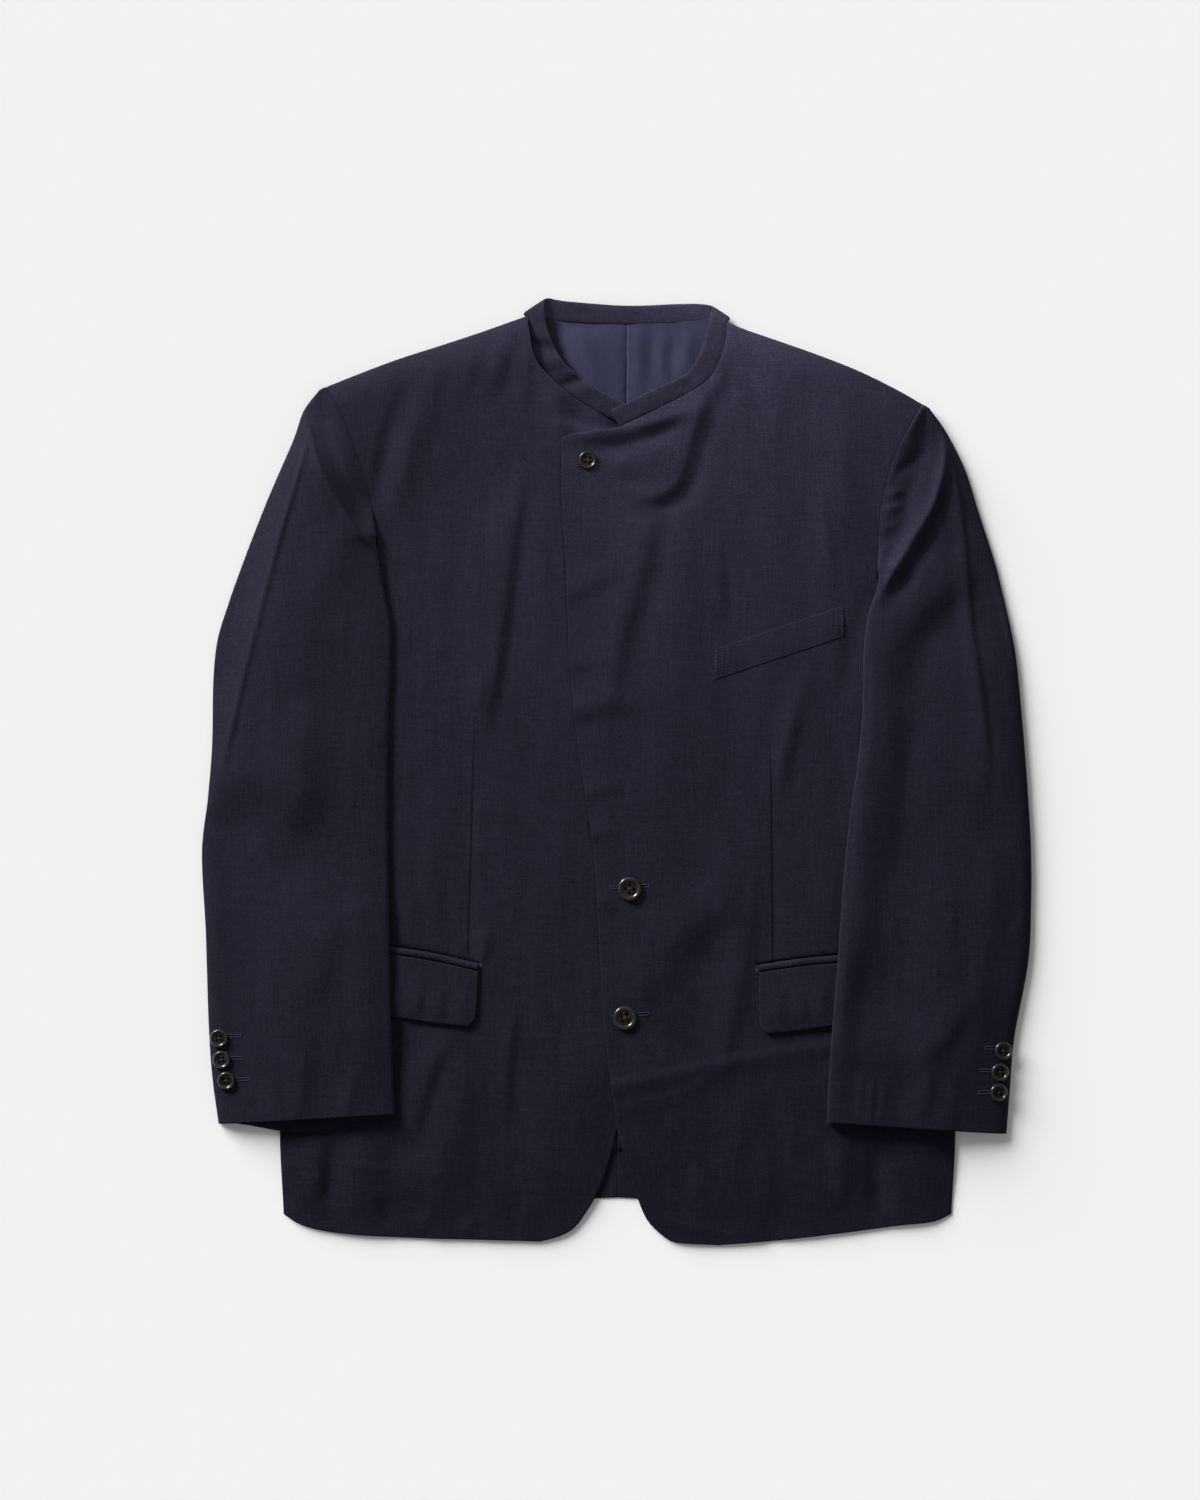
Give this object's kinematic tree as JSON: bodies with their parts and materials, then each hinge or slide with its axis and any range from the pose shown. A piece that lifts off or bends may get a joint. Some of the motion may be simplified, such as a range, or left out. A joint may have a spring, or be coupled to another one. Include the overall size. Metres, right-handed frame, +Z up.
{
  "type": "collarless jacket",
  "caption": "Tailored wool jacket with a narrow neck band, laid flat on its back, fronts lapped and buttoned, sleeves along the sides.",
  "frame": {"origin": "on the table under the middle of the laid-out jacket", "axes": "+X to the wearer's left, +Y towards the neck, +Z up from the table to the fronts"},
  "size_m": [0.6974, 0.7956, 0.0195],
  "materials": {
    "wool": "matte worsted wool",
    "lining": "smooth satin lining",
    "button": "polished dark horn"
  },
  "bodies": {
    "root": {"back_right": "wool", "back_left": "wool", "lining_right": "lining", "lining_left": "lining", "front_right": "wool", "front_left": "wool", "sleeve_right_top": "wool", "sleeve_right_under": "wool", "sleeve_left_top": "wool", "sleeve_left_under": "wool", "neck_band": "wool", "chest_welt": "wool", "jet_right": "wool", "jet_left": "wool", "flap_right": "wool", "flap_left": "wool", "button_neck": "button", "button_middle": "button", "button_lower": "button", "button_cuff_right_1": "button", "button_cuff_right_2": "button", "button_cuff_right_3": "button", "button_cuff_left_1": "button", "button_cuff_left_2": "button", "button_cuff_left_3": "button"}
  },
  "joints": []
}
